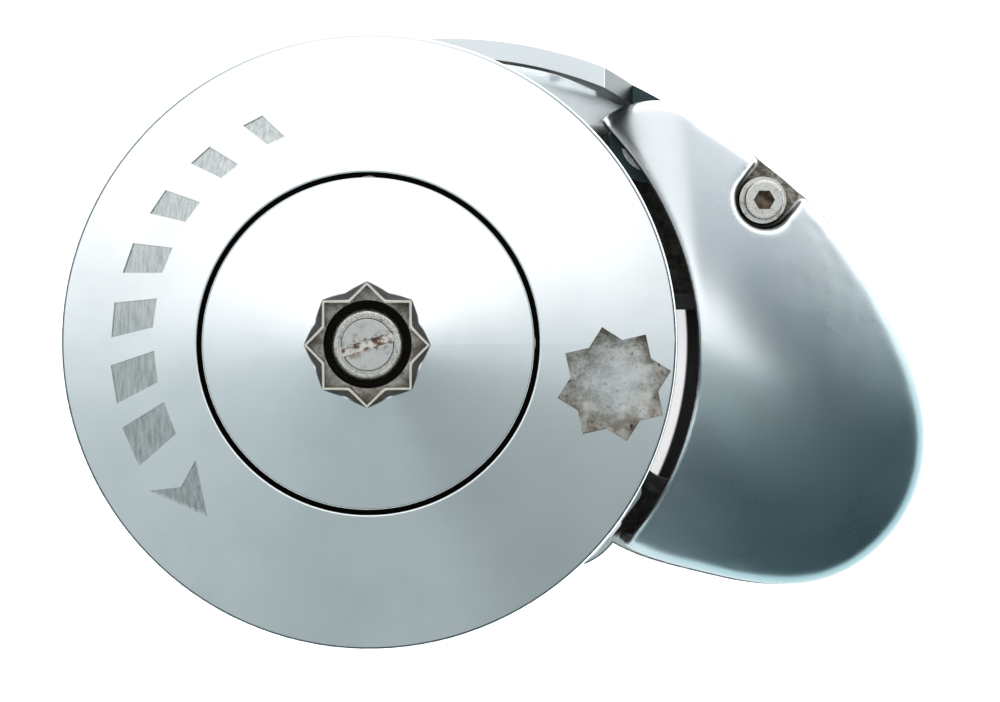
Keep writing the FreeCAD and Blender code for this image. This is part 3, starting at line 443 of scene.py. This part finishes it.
def slot_screw_material():
    """Slotted screw: turned head, rusty in and beside the slot."""
    g = MaterialGraph("slotted_screw")
    x, y, z = g.xyz()
    across_x = g.math("MULTIPLY", x, -math.sin(SLOT_TURN))
    across_y = g.math("MULTIPLY", y, math.cos(SLOT_TURN))
    across = g.math("ADD", across_x, across_y)
    beside = g.fall(g.math("ABSOLUTE", across), 0.6 * MM, 2.4 * MM)
    cloud = g.noise(620.0, 6.0, 0.7)
    rusty = g.math("MULTIPLY", beside, g.step(cloud, 0.46, 0.6))
    turned_rings = g.math("SINE", g.math("MULTIPLY", g.radius(), 42000.0))
    colour = g.mix(g.step(turned_rings, -1.0, 1.0), (0.42, 0.43, 0.42, 1.0), (0.60, 0.61, 0.60, 1.0))
    colour = g.mix(g.step(cloud, 0.5, 0.72, 0.0, 0.6), colour, PATINA)
    in_slot = g.math("LESS_THAN", z, SLOT_FLOOR_Z)
    colour = g.mix(in_slot, colour, (0.66, 0.64, 0.60, 1.0))
    colour = g.mix(g.math("MULTIPLY", rusty, 0.85), colour, RUST)
    roughness = g.blend(rusty, g.step(cloud, 0.3, 0.7, 0.24, 0.4), 0.75)
    g.bump(g.math("ADD", g.math("MULTIPLY", turned_rings, 0.3), g.math("MULTIPLY", cloud, 3.0)), SLOT_BUMP)
    return g.finish(colour, roughness)


def bronze_material():
    g = MaterialGraph("bearing_bronze")
    cloud = g.noise(300.0, 5.0)
    marks = g.noise(2800.0, 3.0)
    colour = g.mix(g.step(cloud, 0.35, 0.7), (0.60, 0.40, 0.19, 1.0), (0.34, 0.22, 0.11, 1.0))
    roughness = g.step(marks, 0.3, 0.7, 0.26, 0.42)
    g.bump(marks, TOOL_BUMP)
    return g.finish(colour, roughness)


def rubber_material():
    g = MaterialGraph("gasket_rubber")
    dust = g.noise(450.0, 6.0, 0.7)
    colour = g.mix(g.step(dust, 0.45, 0.75), (0.018, 0.018, 0.019, 1.0), (0.085, 0.082, 0.078, 1.0))
    roughness = g.step(dust, 0.3, 0.8, 0.55, 0.8)
    g.bump(dust, RUBBER_BUMP)
    return g.finish(colour, roughness, 0.0)


def liner_material():
    g = MaterialGraph("pipe_liner")
    scuff = g.noise(240.0, 6.0, 0.7, g.stretched((1.0, 1.0, 0.2)))
    colour = g.mix(g.step(scuff, 0.45, 0.75), (0.03, 0.03, 0.032, 1.0), (0.10, 0.098, 0.092, 1.0))
    roughness = g.step(scuff, 0.3, 0.8, 0.38, 0.62)
    g.bump(scuff, MOULD_BUMP)
    return g.finish(colour, roughness, 0.0)


# --- pieces -------------------------------------------------------------------------------
def even_out_hood():
    """Even mesh on the hood, so its rounded edge and crown shade smoothly."""
    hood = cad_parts["chainpipe_hood"]
    remesh = hood.modifiers.new("even_mesh", "REMESH")
    remesh.mode = "VOXEL"
    remesh.voxel_size = 0.4 * MM
    remesh.use_smooth_shade = True
    smooth = hood.modifiers.new("polish", "SMOOTH")
    smooth.factor = 0.5
    smooth.iterations = 60


def dress(names, material):
    for name in names:
        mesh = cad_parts[name].data
        mesh.materials.clear()
        mesh.materials.append(material)


def dress_all():
    dress(["drum_cap"], cap_material())
    dress(["clutch_nut"], nut_material())
    dress(["chainpipe_hood"], hood_material())
    dress(["base_plate"], base_material())
    dress(["pressure_arm"], arm_material())
    dress(["chain_stripper"], polished_material())
    dress(["chainwheel"], wheel_material())
    dress(["shaft_end_screw"], slot_screw_material())
    dress(["hood_screw"], hood_screw_material())
    dress(["hood_washer"], stained_steel("washer_steel", 0.7))
    dress(["retaining_collar"], stained_steel("collar_steel", 0.5, (0.34, 0.33, 0.30, 1.0)))
    dress(["main_shaft", "shaft_circlip", "lower_cone_key", "upper_cone_key", "cap_screws", "cap_dowels",
           "stripper_screws", "arm_pivot_pin", "arm_circlip", "pawl_pin", "pawl_circlip", "hood_dowels",
           "ratchet_pawl"], stained_steel("machined_steel", 0.2))
    dress(["clutch_spring", "arm_spring"], stained_steel("spring_wire", 0.7, (0.40, 0.40, 0.39, 1.0)))
    dress(["lower_shaft_bush", "upper_shaft_bush", "lower_thrust_washer", "lower_clutch_cone",
           "upper_clutch_cone", "clutch_thrust_washer", "arm_bush"], bronze_material())
    dress(["base_gasket", "shaft_seal"], rubber_material())
    dress(["chainpipe_liner"], liner_material())


# --- studio -----------------------------------------------------------------------------
class SkyGraph(Graph):
    """The world's nodes, against the direction looked in."""

    def ramp(self, component, stops):
        """Colour against a direction component from -1 to 1."""
        half = self.nodes.new("ShaderNodeMath")
        half.operation = "MULTIPLY_ADD"
        self.links.new(component, half.inputs[0])
        half.inputs[1].default_value = 0.5
        half.inputs[2].default_value = 0.5
        node = self.nodes.new("ShaderNodeValToRGB")
        self.links.new(half.outputs[0], node.inputs[0])
        elements = node.color_ramp.elements
        elements.remove(elements[1])
        elements[0].position = 0.5 * (stops[0][0] + 1.0)
        elements[0].color = (*stops[0][1], 1.0)
        for at, colour in stops[1:]:
            elements.new(0.5 * (at + 1.0)).color = (*colour, 1.0)
        return node.outputs["Color"]

    def toward(self, azimuth, low, high, brightness):
        """1, turning to a brightness towards one compass side."""
        a = math.radians(azimuth)
        dot = self.nodes.new("ShaderNodeVectorMath")
        dot.operation = "DOT_PRODUCT"
        self.links.new(self.point, dot.inputs[0])
        dot.inputs[1].default_value = (math.cos(a), math.sin(a), 0.0)
        return self.step(dot.outputs["Value"], low, high, 1.0, brightness)


def studio_world():
    """Soft surround: white behind, blue-grey in front, slate towards the horizon."""
    world = bpy.data.worlds.new("studio")
    bpy.context.scene.world = world
    world.use_nodes = True
    g = SkyGraph(world.node_tree, "Generated")
    _, y, z = g.xyz()
    high_sky = g.ramp(y, [
        (-1.0, (0.47, 0.54, 0.55)), (-0.60, (0.47, 0.54, 0.55)), (-0.35, (0.54, 0.61, 0.62)),
        (-0.18, (0.62, 0.69, 0.70)), (0.0, (0.84, 0.90, 0.92)), (0.18, (1.2, 1.22, 1.23)),
        (0.35, (1.4, 1.4, 1.4))])
    horizon = g.ramp(y, [
        (-1.0, (0.05, 0.085, 0.10)), (0.0, (0.06, 0.10, 0.115)), (0.5, (0.15, 0.20, 0.23)),
        (0.75, (0.30, 0.37, 0.42)), (0.92, (0.95, 1.0, 1.03)), (1.0, (1.2, 1.22, 1.24))])
    sky = g.mix(g.step(z, 0.25, 0.71), horizon, high_sky)
    sky = g.mix(1.0, sky, g.toward(-38.0, 0.60, 0.70, 0.78), "MULTIPLY")
    sky = g.mix(1.0, sky, g.toward(208.0, 0.52, 0.68, 1.14), "MULTIPLY")
    g.links.new(sky, g.nodes["Background"].inputs["Color"])


def floor():
    """Large pale floor, lit from all round except in the hood's shade."""
    size = 1.6
    mesh = bpy.data.meshes.new("studio_floor")
    corners = [(-size, -size, 0), (size, -size, 0), (size, size, 0), (-size, size, 0)]
    mesh.from_pydata(corners, [], [(0, 1, 2, 3)])
    sheet = bpy.data.objects.new("studio_floor", mesh)
    bpy.context.scene.collection.objects.link(sheet)
    sheet.location.z = -0.2 * MM
    g = MaterialGraph("studio_floor")
    tone = g.mix(g.noise(30.0, 4.0), (0.90, 0.90, 0.90, 1.0), (0.94, 0.94, 0.94, 1.0))
    past_front = g.step(g.radius(HOOD_FRONT_CENTRE), *HOOD_SHADE_R)
    under_hood = g.math("MULTIPLY", past_front, g.fall(g.radius(PIPE_CENTRE), *PIPE_SHADE_R))
    tone = g.mix(under_hood, tone, FLOOR_SHADE)
    g.plug(tone, g.shader.inputs["Emission Color"])
    g.plug(g.blend(under_hood, FLOOR_GLOW, 0.0), g.shader.inputs["Emission Strength"])
    mesh.materials.append(g.finish(tone, 0.9, 0.0))


def area_light(name, place, target, size, power):
    light = bpy.data.lights.new(name, "AREA")
    light.shape = "RECTANGLE"
    light.size, light.size_y = size
    light.energy = power
    holder = bpy.data.objects.new(name, light)
    bpy.context.scene.collection.objects.link(holder)
    holder.location = place
    holder.visible_glossy = False
    aim = Vector(target) - Vector(place)
    holder.rotation_euler = aim.to_track_quat("-Z", "Y").to_euler()


def camera():
    """Long lens almost straight above, a little up and right of the shaft."""
    data = bpy.data.cameras.new("camera")
    eye = bpy.data.objects.new("camera", data)
    bpy.context.scene.collection.objects.link(eye)
    bpy.context.scene.camera = eye
    place = Vector((0.019, 0.023, 1.085))
    target = Vector((0.0275, -0.0017, 0.085))
    frame_width = 0.2095
    data.sensor_width = 36.0
    data.lens = data.sensor_width * (place - target).length / frame_width
    data.clip_start, data.clip_end = 0.05, 20.0
    forward = (target - place).normalized()
    up = (Vector((0, 1, 0)) - forward * forward.y).normalized()
    right = forward.cross(up)
    turn = Matrix((right, up, -forward)).transposed()
    eye.matrix_world = Matrix.Translation(place) @ turn.to_4x4()


dress_all()
even_out_hood()
studio_world()
floor()
area_light("key_panel", (-0.15, 0.75, 0.95), (0.03, 0.0, 0.05), (0.9, 0.6), 5.0)
area_light("top_panel", (0.03, 0.05, 1.6), (0.03, 0.0, 0.05), (1.6, 1.6), 16.0)
camera()
bpy.context.scene.view_settings.view_transform = "Standard"
